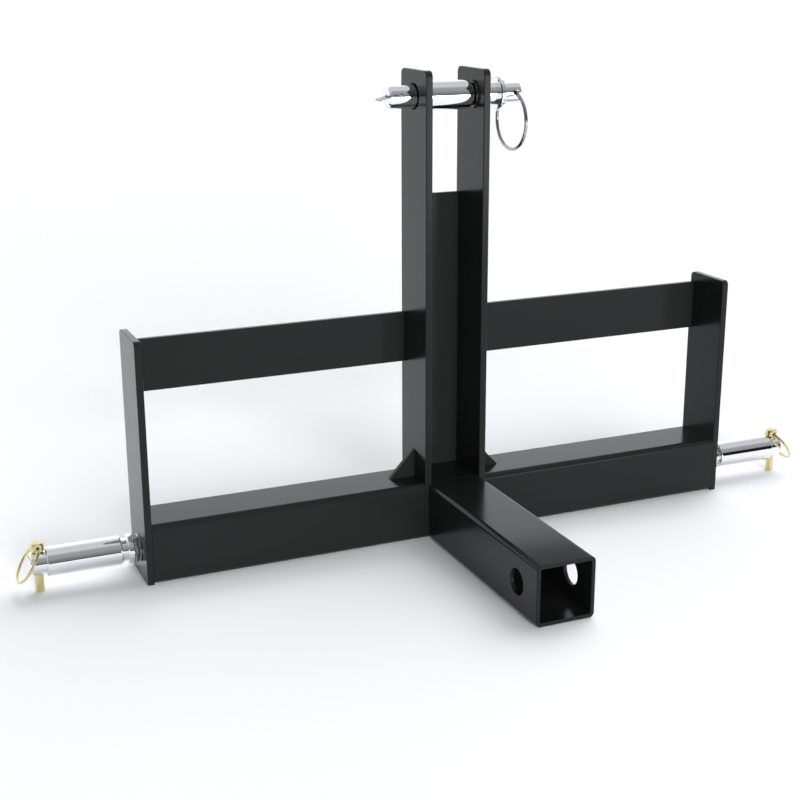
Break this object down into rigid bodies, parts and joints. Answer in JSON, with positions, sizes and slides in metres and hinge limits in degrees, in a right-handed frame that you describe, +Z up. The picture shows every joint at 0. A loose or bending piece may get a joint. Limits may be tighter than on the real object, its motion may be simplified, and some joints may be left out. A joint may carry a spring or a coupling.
{
  "type": "three-point receiver hitch",
  "caption": "Welded three-point linkage frame with a square receiver tube, mast for the top link, and lower pins with bushing sleeves and linchpins.",
  "frame": {"origin": "centre of the crossbar's underside, where the frame stands on the floor", "axes": "+X along the crossbar and the lower pins, to the right as the picture shows the part; +Y from the receiver's mouth to the rear of the frame; +Z up along the mast"},
  "size_m": [0.886, 0.29, 0.472],
  "materials": {
    "black_powder_coat": "gloss black powder coat with a fine orange peel",
    "bright_plated_steel": "bright plated, with fine turning marks",
    "clear_zinc": "clear zinc plate with a faint green-grey tint",
    "yellow_zinc": "pale yellow zinc plate",
    "spring_wire": "bright drawn wire"
  },
  "bodies": {
    "frame": {"crossbar_tube": "black_powder_coat", "receiver_tube": "black_powder_coat", "end_plate_left": "black_powder_coat", "end_plate_right": "black_powder_coat", "upper_rail_left": "black_powder_coat", "upper_rail_right": "black_powder_coat", "mast_plate_left": "black_powder_coat", "mast_plate_right": "black_powder_coat", "mast_back_plate": "black_powder_coat", "gusset_left": "black_powder_coat", "gusset_right": "black_powder_coat", "lower_pin_left": "bright_plated_steel", "lower_pin_right": "bright_plated_steel", "weld_nut_left": "clear_zinc", "weld_nut_right": "clear_zinc", "pin_washer_left": "clear_zinc", "pin_washer_right": "clear_zinc", "lock_nut_left": "clear_zinc", "lock_nut_right": "clear_zinc"},
    "sleeve_left": {"sleeve_left": "bright_plated_steel"},
    "sleeve_right": {"sleeve_right": "bright_plated_steel"},
    "linchpin_left": {"linchpin_left": "yellow_zinc"},
    "linchpin_right": {"linchpin_right": "yellow_zinc"},
    "snap_ring_left": {"snap_ring_left": "yellow_zinc"},
    "snap_ring_right": {"snap_ring_right": "yellow_zinc"},
    "top_sleeve": {"top_sleeve": "bright_plated_steel"},
    "top_pin": {"top_pin": "bright_plated_steel", "stop_collar": "bright_plated_steel"},
    "pull_ring": {"pull_ring": "spring_wire"},
    "hairpin_clip": {"hairpin_clip": "spring_wire"}
  },
  "joints": [
    {"name": "sleeve_left_spin", "type": "hinge", "parent": "frame", "child": "sleeve_left", "pos_m": [-0.37875, 0, 0.0289], "axis": [1, 0, 0], "continuous": true},
    {"name": "sleeve_right_spin", "type": "hinge", "parent": "frame", "child": "sleeve_right", "pos_m": [0.37875, 0, 0.0289], "axis": [1, 0, 0], "continuous": true},
    {"name": "linchpin_left_pull", "type": "slide", "parent": "frame", "child": "linchpin_left", "axis": [0, 0, 1], "range_m": [0, 0.075]},
    {"name": "linchpin_right_pull", "type": "slide", "parent": "frame", "child": "linchpin_right", "axis": [0, 0, 1], "range_m": [0, 0.075]},
    {"name": "snap_ring_left_swing", "type": "hinge", "parent": "linchpin_left", "child": "snap_ring_left", "pos_m": [-0.4213, 0, 0.0447], "axis": [0, 1, 0], "range_deg": [-15, 144]},
    {"name": "snap_ring_right_swing", "type": "hinge", "parent": "linchpin_right", "child": "snap_ring_right", "pos_m": [0.4213, 0, 0.0447], "axis": [0, -1, 0], "range_deg": [-16, 143]},
    {"name": "top_sleeve_spin", "type": "hinge", "parent": "frame", "child": "top_sleeve", "pos_m": [0, 0, 0.4465], "axis": [1, 0, 0], "continuous": true},
    {"name": "top_pin_slide", "type": "slide", "parent": "top_sleeve", "child": "top_pin", "axis": [1, 0, 0], "range_m": [-0.0185, 0.0195]},
    {"name": "pull_ring_swing", "type": "hinge", "parent": "top_pin", "child": "pull_ring", "pos_m": [0.0725, 0, 0.4465], "axis": [0, -1, 0], "range_deg": [-18, 165]},
    {"name": "hairpin_clip_pull", "type": "slide", "parent": "top_pin", "child": "hairpin_clip", "axis": [0, 0.9848, -0.1736], "range_m": [0, 0.036]}
  ]
}
